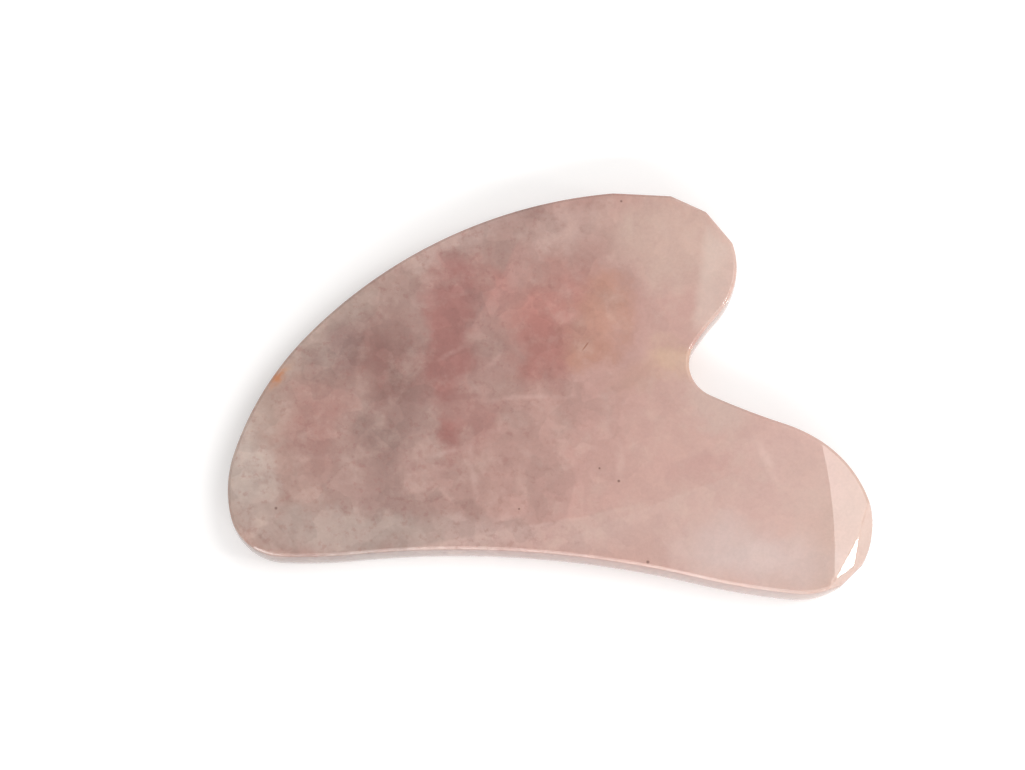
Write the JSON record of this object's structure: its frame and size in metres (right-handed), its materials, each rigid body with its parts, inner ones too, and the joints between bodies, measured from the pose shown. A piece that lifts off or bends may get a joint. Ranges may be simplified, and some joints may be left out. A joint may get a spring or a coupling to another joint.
{
  "type": "gua sha scraper",
  "caption": "Flat polished rose quartz massage board with a long hollow edge, a rounded back and two rounded ends either side of a jaw notch.",
  "frame": {"origin": "centre of the bounding box's bottom face, on the surface the board lies on", "axes": "+X along the long lower edge towards the lower lobe beside the notch, +Y towards the upper lobe, +Z out of the upper face"},
  "size_m": [0.084, 0.0522, 0.006],
  "materials": {
    "rose_quartz": "polished"
  },
  "bodies": {
    "root": {"scraper_stone": "rose_quartz"}
  },
  "joints": []
}
